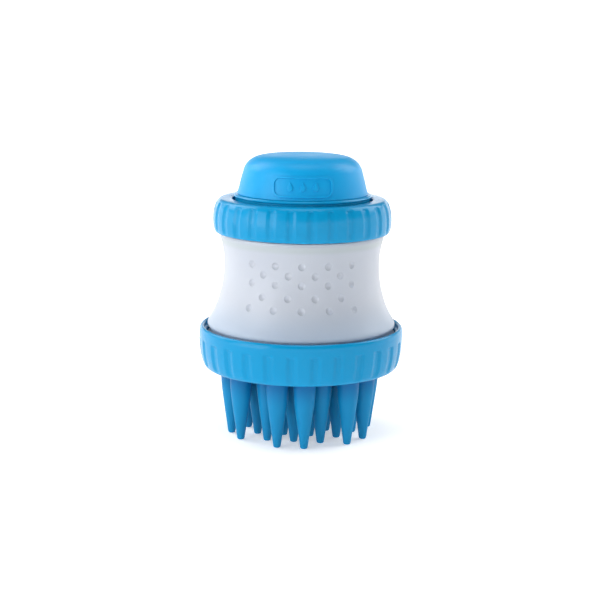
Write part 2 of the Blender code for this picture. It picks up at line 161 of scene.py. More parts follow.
# %% Join copies, cut and grow
def join(pieces, name):
    """Join several objects into one."""
    deselect_all()
    for piece in pieces:
        piece.select_set(True)
    bpy.context.view_layer.objects.active = pieces[0]
    if len(pieces) > 1:
        bpy.ops.object.join()
    joined = bpy.context.active_object
    joined.name = joined.data.name = name
    return joined


def apply_boolean(piece, tool, operation):
    activate(piece)
    boolean = piece.modifiers.new("boolean", "BOOLEAN")
    boolean.operation = operation
    boolean.solver = "EXACT"
    boolean.object = tool
    bpy.ops.object.modifier_apply(modifier=boolean.name)
    bpy.data.objects.remove(tool, do_unlink=True)


def copy_to(piece, places):
    """Copy a piece to each place round its own, each copy with its own mesh."""
    copies = []
    for x, y in places:
        activate(piece)
        bpy.ops.object.duplicate(linked=False)
        copied = bpy.context.active_object
        bpy.ops.transform.translate(value=(x * MM, y * MM, 0))
        bpy.ops.object.transform_apply(location=True, rotation=False, scale=False)
        copies.append(copied)
    bpy.data.objects.remove(piece, do_unlink=True)
    return copies


# %% [markdown]
# ## The screw thread
#
# Both necks and both collars carry a right-hand thread with two starts, so that a full turn
# lifts a collar by six millimetres. A ridge could be modelled by hand round the neck, but the
# Screw modifier does what a lathe does: it carries a small trapezoid round the axis while it
# climbs. The open ends of the ridge are then filled, and the ridge is grown onto the wall.

# %% Grow the ridges of a thread
THREAD_LEAD = 6.0
THREAD_STARTS = 2
THREAD_FOOT = 1.2
THREAD_TIP = 0.6
THREAD_BURY = 0.35
THREAD_STEPS = 96
TURN = 2 * math.pi


def select_points(piece, wanted):
    """In edit mode, select only the points whose place passes a test."""
    mesh = bmesh.from_edit_mesh(piece.data)
    bpy.ops.mesh.select_all(action="DESELECT")
    for vertex in mesh.verts:
        vertex.select = wanted(vertex.co)
    mesh.select_flush(True)
    bmesh.update_edit_mesh(piece.data)


def make_ridge(root, crest, height, turns, start_turn):
    """One ridge, from its foot inside the wall at root to its crest."""
    outwards = 1 if crest > root else -1
    foot = root - outwards * THREAD_BURY
    deselect_all()
    bpy.ops.mesh.primitive_plane_add(size=1, rotation=(math.pi / 2, 0, 0),
                                     location=((foot + crest) / 2 * MM, 0, height * MM))
    ridge = bpy.context.active_object
    ridge.scale = (abs(crest - foot) * MM, THREAD_FOOT * MM, 1)
    bpy.ops.object.transform_apply(location=True, rotation=True, scale=True)
    bpy.ops.object.mode_set(mode="EDIT")
    bpy.ops.mesh.select_mode(type="VERT")
    select_points(ridge, lambda place: abs(place.x / MM - crest) < 0.01)
    bpy.ops.transform.resize(value=(1, 1, THREAD_TIP / THREAD_FOOT))
    bpy.ops.object.mode_set(mode="OBJECT")
    ridge.rotation_euler.z = TURN * start_turn
    bpy.ops.object.transform_apply(location=False, rotation=True, scale=False)
    screw = ridge.modifiers.new("screw", "SCREW")
    screw.angle = TURN * turns
    screw.screw_offset = THREAD_LEAD * turns * MM
    screw.steps = screw.render_steps = round(THREAD_STEPS * turns)
    screw.merge_threshold = MERGE
    bpy.ops.object.modifier_apply(modifier=screw.name)
    bpy.ops.object.mode_set(mode="EDIT")
    bpy.ops.mesh.select_mode(type="EDGE")
    bpy.ops.mesh.select_all(action="DESELECT")
    bpy.ops.mesh.select_non_manifold()
    bpy.ops.mesh.fill_holes(sides=4)
    bpy.ops.mesh.select_all(action="SELECT")
    bpy.ops.mesh.normals_make_consistent(inside=False)
    bpy.ops.object.mode_set(mode="OBJECT")
    return ridge


def grow_thread(piece, root, crest, height, turns, start_turn):
    """Join both starts of a thread to a wall."""
    ridges = [make_ridge(root, crest, height, turns, start_turn + start / THREAD_STARTS)
              for start in range(THREAD_STARTS)]
    apply_boolean(piece, join(ridges, "ridges"), "UNION")


# %% [markdown]
# ## Outlines
#
# A moulded part has no true corner: its walls run into each other in a small radius or along a
# flattened ellipse. Two helpers give such outlines from a few driving sizes. One follows a
# superellipse, the curve of a soft shoulder, and the other runs a smooth curve through a
# handful of points, as a bent spline would.

# %% Curves for the outlines
def bulge(start, end, share, exponent):
    """A value that leaves start steeply and arrives at end flat, along a superellipse."""
    return start + (end - start) * (1 - (1 - share) ** exponent) ** (1 / exponent)


def spline(points, steps):
    """A smooth curve through the points, with so many steps from each to the next."""
    padded = [points[0]] + points + [points[-1]]
    curve = []
    for a, b, c, d in zip(padded, padded[1:], padded[2:], padded[3:]):
        for step in range(steps):
            t = step / steps
            curve.append(tuple(
                0.5 * (2 * q + (r - p) * t + (2 * p - 5 * q + 4 * r - s) * t ** 2
                       + (3 * q - p - 3 * r + s) * t ** 3)
                for p, q, r, s in zip(a, b, c, d)))
    return curve + [points[-1]]


# %% [markdown]
# ## The reservoir
#
# The reservoir is a blow-moulded bottle without ends: a waist that fits between thumb and
# fingers, and an open neck above and below. Its outside is a spline through eleven points, its
# inside a looser one, so the wall is not equally thick all over. It is walked ring by ring,
# because the walk makes outside, inside and both necks as one closed skin.

# %% Walk the reservoir
BOTTLE_SIDES = 180
WAIST_OUTSIDE = [
    (38.6, 45.7), (38.4, 46.9), (36.9, 49.4), (35.2, 52.9), (33.9, 56.6), (32.75, 61.0),
    (32.0, 66.0), (31.8, 71.0), (32.0, 75.2), (32.65, 78.8), (33.5, 82.0),
]
WAIST_INSIDE = [
    (30.2, 82.0), (30.2, 76.5), (30.0, 71.0), (30.3, 65.0), (31.2, 60.0),
    (32.5, 55.6), (34.0, 51.4), (35.5, 47.4),
]
LOWER_NECK = [(35.5, 37.3), (37.1, 37.3), (37.4, 37.6), (37.4, 44.7), (37.6, 44.85),
              (38.1, 44.9), (38.45, 45.15)]
UPPER_NECK = [
    (33.5, 82.9), (33.35, 83.3), (32.9, 83.5), (32.0, 83.6), (32.0, 92.1), (31.7, 92.4),
    (30.5, 92.4), (30.2, 92.1),
]

bottle_outline = (LOWER_NECK + spline(WAIST_OUTSIDE, 5) + UPPER_NECK
                  + spline(WAIST_INSIDE, 3) + LOWER_NECK[:1])
bottle = walk_rings("frosted_bottle", bottle_outline, BOTTLE_SIDES)
LOWER_NECK_THREAD = (37.4, 38.8, 38.4, 0.85, 0.0)  # root, crest, height, turns, start turn
UPPER_NECK_THREAD = (32.0, 33.2, 85.3, 1.0, 0.0)
grow_thread(bottle, *LOWER_NECK_THREAD)
grow_thread(bottle, *UPPER_NECK_THREAD)
print("reservoir wall is", len(bottle.data.vertices), "points")

# %% [markdown]
# ## The dimples of the reservoir
#
# A wet hand slips on smooth plastic, so five staggered rows of small round dimples are sunk in
# the waist, in front and behind. Each is the mark of a ball-ended pin in the mould. Hence balls
# are added where the pins stood, a little outside the wall, and one Boolean takes them all
# away. Sculpting the same marks would leave soft rims, while these are crisp.

# %% Press the dimples
DIMPLE_RADIUS = 1.5
DIMPLE_DEPTH = 0.62
DIMPLE_ROWS = [
    (74.0, (-38.0, -19.0, 0.0, 19.0, 38.0)), (70.3, (-28.5, -9.5, 9.5, 28.5)),
    (66.7, (-38.0, -19.0, 0.0, 19.0, 38.0)), (61.8, (-28.5, -9.5, 9.5, 28.5)),
    (57.2, (-38.0, -19.0, 0.0, 19.0, 38.0)),
]
FRONT_AND_BACK = (-90.0, 90.0)
pin_radius = (DIMPLE_RADIUS ** 2 + DIMPLE_DEPTH ** 2) / (2 * DIMPLE_DEPTH)


def wall_radius(height):
    """Radius of the reservoir's outside at a height."""
    curve = spline(WAIST_OUTSIDE, 5)
    for (radius_a, height_a), (radius_b, height_b) in zip(curve, curve[1:]):
        if height_a <= height <= height_b:
            share = (height - height_a) / (height_b - height_a)
            return radius_a + (radius_b - radius_a) * share
    return curve[-1][0]


pins = []
for row_height, angles in DIMPLE_ROWS:
    reach = wall_radius(row_height) + pin_radius - DIMPLE_DEPTH
    for side in FRONT_AND_BACK:
        for degrees in angles:
            around = math.radians(side + degrees)
            deselect_all()
            bpy.ops.mesh.primitive_uv_sphere_add(
                segments=28, ring_count=16, radius=pin_radius * MM,
                location=(reach * math.cos(around) * MM, reach * math.sin(around) * MM,
                          row_height * MM))
            bpy.ops.object.transform_apply(location=True, rotation=False, scale=False)
            pins.append(bpy.context.active_object)
print(len(pins), "dimples")
apply_boolean(bottle, join(pins, "pins"), "DIFFERENCE")
smooth_faces(bottle, 30)
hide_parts("reservoir")
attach(bottle, "reservoir")

# %% [markdown]
# ## Finger grooves
#
# Both collars have twenty-eight shallow grooves, each with a flat floor and two soft walls.
# They could be cut with a tool, but the collar's wall is already a grid of columns, twelve to
# a groove. So the points of four columns out of twelve are picked by their angle, ring by
# ring, and scaled towards the axis. The rings above stay out, so the top of the groove closes
# by itself, and towards its foot the depth fades out.

# %% Sink the grooves of a collar
FLUTES = 28
COLUMNS_PER_FLUTE = 12
FLOOR_COLUMNS = 4
COLLAR_SIDES = FLUTES * COLUMNS_PER_FLUTE
FLUTE_DEPTH = 0.52
FLUTE_RUN_OUT = 1.6


def sink_flutes(piece, inner_radius, low, high, turn):
    """Sink the grooves of the wall outside inner_radius, which run out softly at the low end."""
    column_angle = TURN / COLLAR_SIDES
    middle = math.radians(turn - 90) / column_angle
    first = round(middle - (FLOOR_COLUMNS - 1) / 2)
    activate(piece)
    bpy.ops.object.mode_set(mode="EDIT")
    bpy.ops.mesh.select_mode(type="VERT")
    mesh = bmesh.from_edit_mesh(piece.data)
    rings = {}
    for vertex in mesh.verts:
        radius = vertex.co.xy.length / MM
        if radius > inner_radius and low < vertex.co.z / MM < high:
            rings.setdefault(round(vertex.co.z / MM, 3), []).append(vertex.index)
    for height, ring in rings.items():
        bpy.ops.mesh.select_all(action="DESELECT")
        mesh = bmesh.from_edit_mesh(piece.data)
        mesh.verts.ensure_lookup_table()
        for index in ring:
            vertex = mesh.verts[index]
            column = round(math.atan2(vertex.co.y, vertex.co.x) / column_angle)
            vertex.select = (column - first) % COLUMNS_PER_FLUTE < FLOOR_COLUMNS
        radius = mesh.verts[ring[0]].co.xy.length / MM
        mesh.select_flush(True)
        bmesh.update_edit_mesh(piece.data)
        shrink = 1 - FLUTE_DEPTH * min(1.0, (height - low) / FLUTE_RUN_OUT) / radius
        bpy.ops.transform.resize(value=(shrink, shrink, 1), center_override=(0, 0, height * MM))
    bpy.ops.object.mode_set(mode="OBJECT")
    print(piece.name, "has grooves in", len(rings), "rings")


# %% [markdown]
# ## The lower collar
#
# The larger collar clamps the brush to the reservoir. Its side bellies out towards a smooth
# band above the grooves, and its rim rolls inwards to a gap round the bottle. Below, an inward
# lip carries the rim of the silicone pad. The heights of its rings are close together where
# the grooves end, so that the ends stay crisp.

# %% Make the lower collar
LOWER_FOOT, LOWER_BELLY = (38.8, 28.0), (42.02, 42.4)
LOWER_ROUNDNESS = 2.15
LOWER_HEIGHTS = (28.06, 28.2, 28.45, 28.8, 29.2, 29.6, 30.4, 31.6, 33.0, 34.6, 36.3, 38.0, 39.3,
                 39.9, 40.35, 40.9, 41.6, 42.4)
LOWER_RIM = [(42.0, 43.2), (41.85, 43.9), (41.6, 44.5), (41.3, 44.85), (40.95, 45.0),
             (40.5, 44.95), (40.2, 44.75), (40.05, 44.4), (39.9, 43.2), (39.2, 42.8)]
LOWER_INSIDE = [(39.2, 37.9), (37.8, 37.0), (37.8, 30.2), (34.5, 30.2), (34.2, 29.9),
                (34.2, 28.3), (34.5, 28.0)]


def collar_side(foot, belly, heights, exponent):
    """Points of a collar's side, from its foot to its widest ring."""
    return [
        (bulge(foot[0], belly[0], (height - foot[1]) / (belly[1] - foot[1]), exponent), height)
        for height in heights
    ]


lower_collar = walk_rings(
    "lower_screw_collar",
    [LOWER_FOOT] + collar_side(LOWER_FOOT, LOWER_BELLY, LOWER_HEIGHTS, LOWER_ROUNDNESS)
    + LOWER_RIM + LOWER_INSIDE + [LOWER_FOOT], COLLAR_SIDES)
LOWER_GROOVES = (39.3, 28.7, 40.2, -4.5)  # outside this radius, low, high, turn in degrees
LOWER_START = 0.35
sink_flutes(lower_collar, *LOWER_GROOVES)
grow_thread(lower_collar, 39.2, 37.9, 36.9 + LOWER_START * THREAD_LEAD, 0.55, LOWER_START)
smooth_faces(lower_collar, 48)
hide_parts("lower_collar")
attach(lower_collar, "lower_collar")

# %% [markdown]
# ## The upper collar
#
# The smaller collar holds the lid on the upper neck. It is made like the lower one, with the
# grooves running from its foot right into the shoulder, where they end in small scoops that
# catch the light. Its flat top leaves a round opening for the button.

# %% Make the upper collar
UPPER_FOOT, UPPER_BELLY, UPPER_SHOULDER = (35.25, 83.9), (36.4, 89.0), (33.1, 97.5)
UPPER_HEIGHTS = (83.96, 84.1, 84.35, 84.6, 85.2, 86.0, 87.3, 89.0)
SHOULDER_HEIGHTS = (90.6, 92.0, 93.2, 94.2, 95.0, 95.6, 96.05, 96.45, 96.8, 97.1, 97.3, 97.45)
UPPER_INSIDE = [(29.4, 97.5), (28.95, 97.42), (28.75, 97.2), (28.7, 96.8), (28.7, 95.6),
                (33.6, 95.6), (33.6, 84.4), (34.1, 83.9)]

shoulder = collar_side(UPPER_SHOULDER, UPPER_BELLY, SHOULDER_HEIGHTS, 2)
upper_collar = walk_rings(
    "upper_screw_collar",
    [UPPER_FOOT] + collar_side(UPPER_FOOT, UPPER_BELLY, UPPER_HEIGHTS, 2) + shoulder
    + [UPPER_SHOULDER] + UPPER_INSIDE + [UPPER_FOOT], COLLAR_SIDES)
UPPER_GROOVES = (34.2, 84.3, 96.3, 5.8)
UPPER_START = 0.2
sink_flutes(upper_collar, *UPPER_GROOVES)
grow_thread(upper_collar, 33.6, 32.4, 83.8 + UPPER_START * THREAD_LEAD, 0.85, UPPER_START)
smooth_faces(upper_collar, 48)
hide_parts("upper_collar")
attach(upper_collar, "upper_collar")

# %% [markdown]
# ## The palm dome
#
# The dome is a thick silicone cap with a low crown, a full round edge and a wall that widens
# towards its foot, where it sits on the lip of the button's frame. A UV sphere squashed by hand
# never gets that shape, so its side is a spline through a dozen points, walked in rings.

# %% Make the dome and the frame under it
DOME_SIDES = 160
DOME_TOP = 115.39
DOME_OUTSIDE = [
    (0.6, DOME_TOP), (7.0, 115.37), (12.3, 115.2), (16.0, 114.9), (18.9, 114.3), (21.1, 113.2),
    (22.8, 111.7), (23.9, 109.8), (24.5, 107.7), (25.3, 104.8), (26.0, 101.8), (26.6, 99.9),
]
DOME_FOOT = [(26.65, 99.7), (26.6, 99.5)]
DOME_INSIDE = [(23.2, 99.5), (23.2, 107.0), (22.6, 109.0), (21.0, 110.9), (18.5, 112.0),
               (0, 112.4)]
FRAME_OUTLINE = [
    (0, 112.1), (18.3, 111.7), (20.8, 110.55), (22.3, 108.9), (22.9, 106.9), (22.9, 99.4),
    (27.3, 99.4), (27.75, 99.3), (28.05, 99.05), (28.2, 98.7), (28.05, 98.3), (27.75, 98.08),
    (27.4, 98.0), (27.4, 92.0), (26.2, 92.0), (26.2, 98.0), (21.5, 98.0), (21.5, 107.3),
    (19.5, 109.6), (18.0, 110.3), (4.6, 110.3), (4.6, 103.0), (2.8, 103.0), (2.8, 110.3),
    (0, 110.3),
]

dome = walk_rings("palm_dome_skin", [(0, DOME_TOP)] + spline(DOME_OUTSIDE, 4) + DOME_FOOT
                  + DOME_INSIDE, DOME_SIDES)
smooth_faces(dome, 40)
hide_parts("palm_dome")
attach(dome, "button")

button_lip = walk_rings("button_lip_frame", FRAME_OUTLINE, DOME_SIDES)
smooth_faces(button_lip, 40)
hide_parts("button_frame")
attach(button_lip, "button")

# %% [markdown]
# ## The plaque on the dome
#
# A low raised frame sits on the front of the dome. The mark that a maker would put in it is
# left to the maker: here it holds three plain drops of water. Frame and drops are drawn flat in
# front of the dome, pressed onto it with a Shrinkwrap, and given their height with a Solidify
# whose inner side stays buried in the dome.

# %% Press flat figures onto the dome
PLAQUE_HEIGHT = 104.6
PLAQUE_SIZE = (23.6, 8.2)
PLAQUE_CORNER = 3.0
PLAQUE_BORDER = 0.8
RELIEF = 0.45
BURIED = 0.5
RIM_ROUND = 0.16
STRIP = 0.8
DRAWN_AT = -40  # how far in front of the axis the flat figures are drawn


def slice_upright(width, step):
    """Cut the figure in edit mode into narrow strips, so that it can bend round the dome."""
    count = round(width / step)
    for strip in range(1, count):
        bpy.ops.mesh.select_all(action="SELECT")
        bpy.ops.mesh.bisect(plane_co=((strip / count - 0.5) * width * MM, 0, 0),
                            plane_no=(1, 0, 0))


def press_on_dome(figure, name):
    """Wrap a flat figure on the dome, thicken it and round its rim."""
    activate(figure)
    figure.name = figure.data.name = name
    wrap = figure.modifiers.new("wrap", "SHRINKWRAP")
    wrap.target = dome
    wrap.wrap_method = "PROJECT"
    wrap.use_project_y = True
    wrap.use_positive_direction = True
    wrap.use_negative_direction = False
    wrap.wrap_mode = "ABOVE_SURFACE"
    wrap.offset = RELIEF * MM
    bpy.ops.object.modifier_apply(modifier=wrap.name)
    wall = figure.modifiers.new("wall", "SOLIDIFY")
    wall.thickness = (RELIEF + BURIED) * MM
    wall.offset = -1
    bpy.ops.object.modifier_apply(modifier=wall.name)
    rim = figure.modifiers.new("rim", "BEVEL")
    rim.width = RIM_ROUND * MM
    rim.segments = 3
    rim.limit_method = "ANGLE"
    rim.angle_limit = math.radians(50)
    bpy.ops.object.modifier_apply(modifier=rim.name)
    smooth_faces(figure, 35)
    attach(figure, "button")
    return figure


deselect_all()
bpy.ops.mesh.primitive_plane_add(size=MM, location=(0, DRAWN_AT * MM, PLAQUE_HEIGHT * MM),
                                 rotation=(math.pi / 2, 0, 0))
plaque = bpy.context.active_object
plaque.scale = (PLAQUE_SIZE[0], PLAQUE_SIZE[1], 1)
bpy.ops.object.transform_apply(location=True, rotation=True, scale=True)
bpy.ops.object.mode_set(mode="EDIT")
bpy.ops.mesh.select_all(action="SELECT")
bpy.ops.mesh.bevel(offset=PLAQUE_CORNER * MM, offset_type="OFFSET", segments=10,
                   affect="VERTICES")
bpy.ops.mesh.inset(thickness=PLAQUE_BORDER * MM)
bpy.ops.mesh.delete(type="FACE")
slice_upright(PLAQUE_SIZE[0], STRIP)
bpy.ops.object.mode_set(mode="OBJECT")
plaque = press_on_dome(plaque, "plaque_border")

# %% [markdown]
# A drop is a small disc whose topmost point is pulled up. Proportional editing lets the
# neighbours follow part of the way, so the disc runs into the tip without a kink.

# %% Add three drops
DROP_RADIUS = 1.15
DROP_TIP = 1.3
DROP_REACH = 1.6
DROP_GAP = 5.0
DROP_SINK = 0.45
for number in range(3):
    drop_x = (number - 1) * DROP_GAP
    drop_z = PLAQUE_HEIGHT - DROP_SINK
    deselect_all()
    bpy.ops.mesh.primitive_circle_add(vertices=32, radius=DROP_RADIUS * MM, fill_type="TRIFAN",
                                      location=(drop_x * MM, DRAWN_AT * MM, drop_z * MM),
                                      rotation=(math.pi / 2, 0, 0))
    drop = bpy.context.active_object
    bpy.ops.object.transform_apply(location=True, rotation=True, scale=False)
    bpy.ops.object.mode_set(mode="EDIT")
    bpy.ops.mesh.select_mode(type="VERT")
    select_points(drop, lambda place: place.z / MM > drop_z + 0.999 * DROP_RADIUS)
    bpy.ops.transform.translate(value=(0, 0, DROP_TIP * MM), use_proportional_edit=True,
                                proportional_edit_falloff="SHARP",
                                proportional_size=DROP_REACH * MM)
    bpy.ops.object.mode_set(mode="OBJECT")
    print("drop", number + 1, "is", round(drop.dimensions.z / MM, 2), "mm tall")
    press_on_dome(drop, f"plaque_drop_{number + 1}")

# %% [markdown]
# ## The bristles and their pad
#
# Thirty-one thick bristles stand in a triangular field, each a slim cone that swells towards
# its root, with a small round-edged flat at the tip. They are moulded in one piece with a pad
# whose flange the collar clamps. One bristle is modelled, copied to its places, grown onto the
# pad, and twelve small holes are drilled between the middle ones for the shampoo.

# %% Make one bristle and copy it
BRISTLE_SIDES = 32
BRISTLE_PITCH = 10.9
BRISTLE_TURN = math.radians(-7.5)
BRISTLE_SIDE = [(1.45, 0.35), (1.62, 1.1), (2.1, 4.6), (3.05, 11.0), (4.0, 18.0), (4.42, 22.5),
                (4.56, 26.2), (4.72, 27.7)]
BRISTLE_TIP = [(0, 0.0), (0.7, 0.0), (1.1, 0.02), (1.3, 0.12)]
BRISTLE_ROOT = [(4.95, 28.4), (5.2, 28.82), (5.2, 29.6), (0, 29.6)]
PAD_BOTTOM = 28.8
PAD_TOP = 32.5
HOLE_RADIUS = 0.9


def lattice_places():
    """Middles of the bristles: every lattice point within the third ring of neighbours."""
    reach = math.sqrt(7) * BRISTLE_PITCH + 0.1
    places = []
    for row in range(-3, 4):
        for column in range(-4, 5):
            across = BRISTLE_PITCH * (column + row / 2)
            along = BRISTLE_PITCH * row * math.sqrt(3) / 2
            if math.hypot(across, along) <= reach:
                places.append((across * math.cos(BRISTLE_TURN) - along * math.sin(BRISTLE_TURN),
                               across * math.sin(BRISTLE_TURN) + along * math.cos(BRISTLE_TURN)))
    return places


bristle = walk_rings("bristle", BRISTLE_TIP + spline(BRISTLE_SIDE, 3) + BRISTLE_ROOT,
                     BRISTLE_SIDES)
bristles = copy_to(bristle, lattice_places())
print(len(bristles), "bristles")

# %% Make the pad and grow the bristles on it
PAD_OUTLINE = [
    (0, PAD_BOTTOM), (33.3, PAD_BOTTOM), (33.65, 28.9), (33.8, 29.2), (33.8, 30.5),
    (37.1, 30.5), (37.3, 30.7), (37.3, 32.3), (37.1, PAD_TOP), (0, PAD_TOP),
]
brush = walk_rings("bristle_pad", PAD_OUTLINE, BOTTLE_SIDES)
apply_boolean(brush, join(bristles, "bristles"), "UNION")

drill = walk_rings("drill", [(0, PAD_BOTTOM - 1), (HOLE_RADIUS, PAD_BOTTOM - 1),
                             (HOLE_RADIUS, PAD_TOP + 1), (0, PAD_TOP + 1)], 20)
hole_places = []
for ring in (1, 2):
    for sixth in range(6):
        away = ring * BRISTLE_PITCH / math.sqrt(3)
        around = TURN * sixth / 6 + BRISTLE_TURN + TURN / 12
        hole_places.append((away * math.cos(around), away * math.sin(around)))
apply_boolean(brush, join(copy_to(drill, hole_places), "drills"), "DIFFERENCE")
smooth_faces(brush, 40)
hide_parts("brush_pad")
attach(brush, "brush_head")

# %% [markdown]
# ## Finishes: the shared effects
#
# Moulded plastic is never one even colour. Three effects come back in every finish, so each is
# a node group that is built once: a fine skin left by the mould with broad patches of slightly
# different shade, a paler line where hands have rubbed an edge, and a mask that changes with
# height. The groups read Object coordinates, which are metres in this model.

# %% Build the node groups
def new_group(name, inputs, outputs):
    """An empty shader node group with float and colour sockets."""
    group = bpy.data.node_groups.new(name, "ShaderNodeTree")
    kinds = {"f": "NodeSocketFloat", "c": "NodeSocketColor"}
    for label, kind, value in inputs:
        socket = group.interface.new_socket(label, in_out="INPUT", socket_type=kinds[kind])
        socket.default_value = value
    for label, kind in outputs:
        group.interface.new_socket(label, in_out="OUTPUT", socket_type=kinds[kind])
    return group, group.nodes.new("NodeGroupInput"), group.nodes.new("NodeGroupOutput")


def add_node(tree, kind, **settings):
    node = tree.nodes.new(kind)
    for label, value in settings.items():
        setattr(node, label, value)
    return node


def mix_colours(tree, factor, first, second):
    """A Mix node that blends two colour sockets, and its result."""
    mix = add_node(tree, "ShaderNodeMix", data_type="RGBA")
    tree.links.new(factor, mix.inputs["Factor"])
    tree.links.new(first, mix.inputs[6])
    tree.links.new(second, mix.inputs[7])
    return mix.outputs[2]


def map_range(tree, value, low, high, new_low, new_high):
    """A smooth Map Range node whose limits are numbers or sockets."""
    node = add_node(tree, "ShaderNodeMapRange", interpolation_type="SMOOTHSTEP")
    tree.links.new(value, node.inputs["Value"])
    limits = {"From Min": low, "From Max": high, "To Min": new_low, "To Max": new_high}
    for label, limit in limits.items():
        if isinstance(limit, (int, float)):
            node.inputs[label].default_value = limit
        else:
            tree.links.new(limit, node.inputs[label])
    return node.outputs["Result"]


skin, skin_in, skin_out = new_group(
    "moulded_skin", [("Grain per metre", "f", 2500.0), ("Patches per metre", "f", 60.0)],
    [("Grain", "f"), ("Patch", "f")])
place = add_node(skin, "ShaderNodeTexCoord").outputs["Object"]
for source, result, detail in (("Grain per metre", "Grain", 2.0),
                               ("Patches per metre", "Patch", 4.0)):
    noise = add_node(skin, "ShaderNodeTexNoise")
    noise.inputs["Detail"].default_value = detail
    skin.links.new(place, noise.inputs["Vector"])
    skin.links.new(skin_in.outputs[source], noise.inputs["Scale"])
    skin.links.new(noise.outputs["Fac"], skin_out.inputs[result])

wear, wear_in, wear_out = new_group(
    "rubbed_edges", [("Colour", "c", (1, 1, 1, 1)), ("Rubbed", "c", (1, 1, 1, 1)),
                     ("Sharp from", "f", 0.52), ("Sharp to", "f", 0.62)],
    [("Colour", "c")])
pointed = add_node(wear, "ShaderNodeNewGeometry").outputs["Pointiness"]
edge_mask = map_range(wear, pointed, wear_in.outputs["Sharp from"], wear_in.outputs["Sharp to"],
                      0.0, 1.0)
wear.links.new(mix_colours(wear, edge_mask, wear_in.outputs["Colour"], wear_in.outputs["Rubbed"]),
               wear_out.inputs["Colour"])

rise_group, rise_in, rise_out = new_group(
    "rise_mask", [("Low", "f", 0.0), ("High", "f", 0.1)], [("Mask", "f")])
split = add_node(rise_group, "ShaderNodeSeparateXYZ")
rise_group.links.new(add_node(rise_group, "ShaderNodeTexCoord").outputs["Object"],
                     split.inputs["Vector"])
rise_group.links.new(
    map_range(rise_group, split.outputs["Z"], rise_in.outputs["Low"], rise_in.outputs["High"],
              0.0, 1.0), rise_out.inputs["Mask"])
print("node groups:", [group.name for group in bpy.data.node_groups])

# %% [markdown]
# ## A common start for every finish
#
# Each finish is a Principled shader of its own. The helper gives it the moulded skin: patches
# move the colour and the roughness a little, and the grain becomes a bump a few hundredths of
# a millimetre deep. What is the same all over the surface is set on the shader itself.

# %% Start a finish
def use_group(tree, group, **values):
    node = add_node(tree, "ShaderNodeGroup", node_tree=group)
    for label, value in values.items():
        node.inputs[label.replace("_", " ")].default_value = value
    return node


def colour_node(tree, colour):
    node = add_node(tree, "ShaderNodeRGB")
    node.outputs[0].default_value = (*colour, 1.0)
    return node.outputs[0]


def start_finish(name, colours, roughness, grain, bump_depth, **constants):
    """A material whose colour and roughness move between two values with the patches."""
    material = bpy.data.materials.new(name)
    material.use_nodes = True
    tree = material.node_tree
    shader = tree.nodes["Principled BSDF"]
    for label, value in constants.items():
        shader.inputs[label.replace("_", " ")].default_value = value
    skin_node = use_group(tree, skin, Grain_per_metre=grain)
    colour = mix_colours(tree, skin_node.outputs["Patch"], colour_node(tree, colours[0]),
                         colour_node(tree, colours[1]))
    tree.links.new(colour, shader.inputs["Base Color"])
    tree.links.new(map_range(tree, skin_node.outputs["Patch"], 0.3, 0.7, *roughness),
                   shader.inputs["Roughness"])
    bump = add_node(tree, "ShaderNodeBump")
    bump.inputs["Distance"].default_value = bump_depth * MM
    bump.inputs["Strength"].default_value = 1.0
    tree.links.new(skin_node.outputs["Grain"], bump.inputs["Height"])
    tree.links.new(bump.outputs["Normal"], shader.inputs["Normal"])
    return material, tree, shader, colour


def give(finish, *pieces):
    """Put a finish on pieces."""
    for piece in pieces:
        if piece.material_slots:
            piece.material_slots[0].material = finish
        else:
            piece.data.materials.append(finish)
    print(finish.name, "on", [piece.name for piece in pieces])


# %% [markdown]
# ## Silicone and gloss plastic
#
# The dome and the bristles are coloured silicone: a satin skin that scatters a little light
# inside. The collars are hard polypropylene, polished in the mould, so they are glossier and
# show a faint orange-peel, and the edges of their grooves are rubbed paler.

# %% Finish the blue pieces
dome_silicone, _, _, _ = start_finish(
    "dome_silicone", ((0.0, 0.28, 0.58), (0.0, 0.31, 0.64)), (0.34, 0.42), 2600.0, 0.012,
    Subsurface_Weight=0.12, Subsurface_Radius=(0.2, 1.0, 1.4), Subsurface_Scale=0.0015,
    Specular_IOR_Level=0.22)

bristle_silicone, tree, shader, colour = start_finish(
    "bristle_silicone", ((0.0, 0.19, 0.40), (0.0, 0.22, 0.45)), (0.45, 0.55), 2600.0, 0.012,
    Subsurface_Weight=0.15, Subsurface_Radius=(0.2, 1.0, 1.4), Subsurface_Scale=0.002,
    Specular_IOR_Level=0.2)
# Painted shade: the bristles turn darker towards their roots, where the pad and the crowded field
# shade them.
root_shade_mask = use_group(tree, rise_group, Low=16 * MM, High=PAD_BOTTOM * MM).outputs["Mask"]
tree.links.new(mix_colours(tree, root_shade_mask, colour, colour_node(tree, (0.0, 0.11, 0.30))),
               shader.inputs["Base Color"])

collar_gloss, tree, shader, colour = start_finish(
    "collar_gloss", ((0.0, 0.23, 0.46), (0.0, 0.255, 0.51)), (0.18, 0.24), 700.0, 0.02,
    Specular_IOR_Level=0.2)
rubbed = use_group(tree, wear, Rubbed=(0.01, 0.33, 0.62, 1.0), Sharp_from=0.53, Sharp_to=0.60)
tree.links.new(colour, rubbed.inputs["Colour"])
tree.links.new(rubbed.outputs["Colour"], shader.inputs["Base Color"])

give(dome_silicone, dome, plaque, *[bpy.data.objects[f"plaque_drop_{n}"] for n in (1, 2, 3)])
give(bristle_silicone, brush)
give(collar_gloss, lower_collar, upper_collar, button_lip, nodes["dispensing_plate"])
